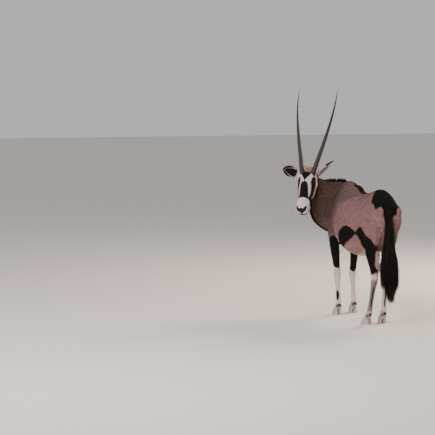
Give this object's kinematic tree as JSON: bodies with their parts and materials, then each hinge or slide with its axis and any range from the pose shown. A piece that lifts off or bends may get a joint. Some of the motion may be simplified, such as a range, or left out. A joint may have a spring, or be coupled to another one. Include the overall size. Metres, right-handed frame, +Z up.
{
  "type": "standing gemsbok",
  "caption": "Life-size gemsbok standing and looking back over its left shoulder, with long ringed horns, marked face and a full black tail.",
  "frame": {"origin": "on the floor under the middle of the whole animal's bounding box", "axes": "+Z up, the animal faces -Y and its left side is +X"},
  "size_m": [0.702, 1.643, 2.0277],
  "materials": {
    "fawn_coat": "short matt fur",
    "face_coat": "short matt fur",
    "pale_coat": "short matt fur",
    "black_hair": "long and short black hair, slight sheen",
    "horn": "ringed horn, satin towards the tips",
    "hoof": "worn horn with dust",
    "eye": "wet gloss"
  },
  "bodies": {
    "root": {"torso": "fawn_coat", "neck": "fawn_coat", "head": "face_coat", "tail": "black_hair", "ear_left": "face_coat", "ear_right": "face_coat", "eye_left": "eye", "eye_right": "eye", "horn_left": "horn", "horn_right": "horn", "left_fore_upper_leg": "black_hair", "left_fore_lower_leg": "pale_coat", "left_fore_inner_hoof": "hoof", "left_fore_outer_hoof": "hoof", "right_fore_upper_leg": "black_hair", "right_fore_lower_leg": "pale_coat", "right_fore_inner_hoof": "hoof", "right_fore_outer_hoof": "hoof", "left_hind_upper_leg": "black_hair", "left_hind_lower_leg": "pale_coat", "left_hind_inner_hoof": "hoof", "left_hind_outer_hoof": "hoof", "right_hind_upper_leg": "black_hair", "right_hind_lower_leg": "pale_coat", "right_hind_inner_hoof": "hoof", "right_hind_outer_hoof": "hoof"}
  },
  "joints": []
}
